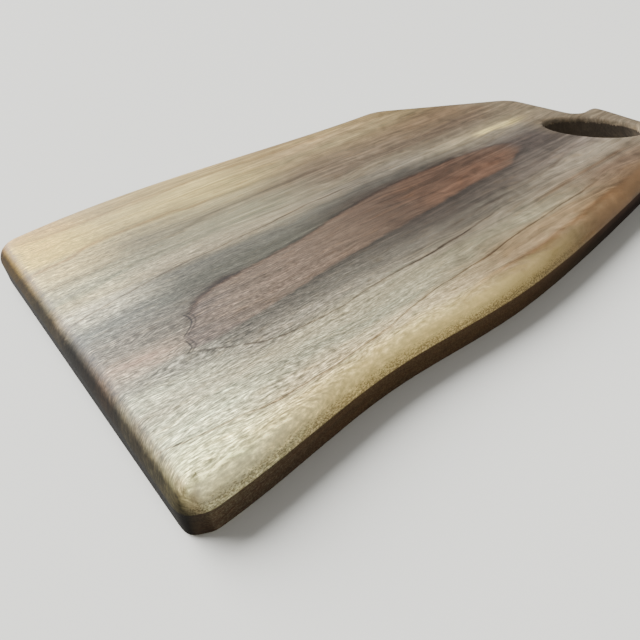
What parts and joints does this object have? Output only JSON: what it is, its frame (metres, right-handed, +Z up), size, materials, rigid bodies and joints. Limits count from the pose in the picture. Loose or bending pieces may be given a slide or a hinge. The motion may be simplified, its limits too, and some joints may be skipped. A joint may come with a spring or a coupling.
{
  "type": "live-edge wooden board with hand hole",
  "caption": "Flat one-piece hardwood board with live long edges, a squared end, a tapered end and an oval hand hole; lies flat to carry or slide things on.",
  "frame": {"origin": "under the middle of the board's bounding box, on its resting face", "axes": "+X along the grain towards the hand hole, +Y to the straight shouldered edge, +Z up out of the top face"},
  "size_m": [0.3641, 0.2297, 0.02],
  "materials": {
    "hardwood": "satin, hand-oiled"
  },
  "bodies": {
    "root": {"board": "hardwood"}
  },
  "joints": []
}
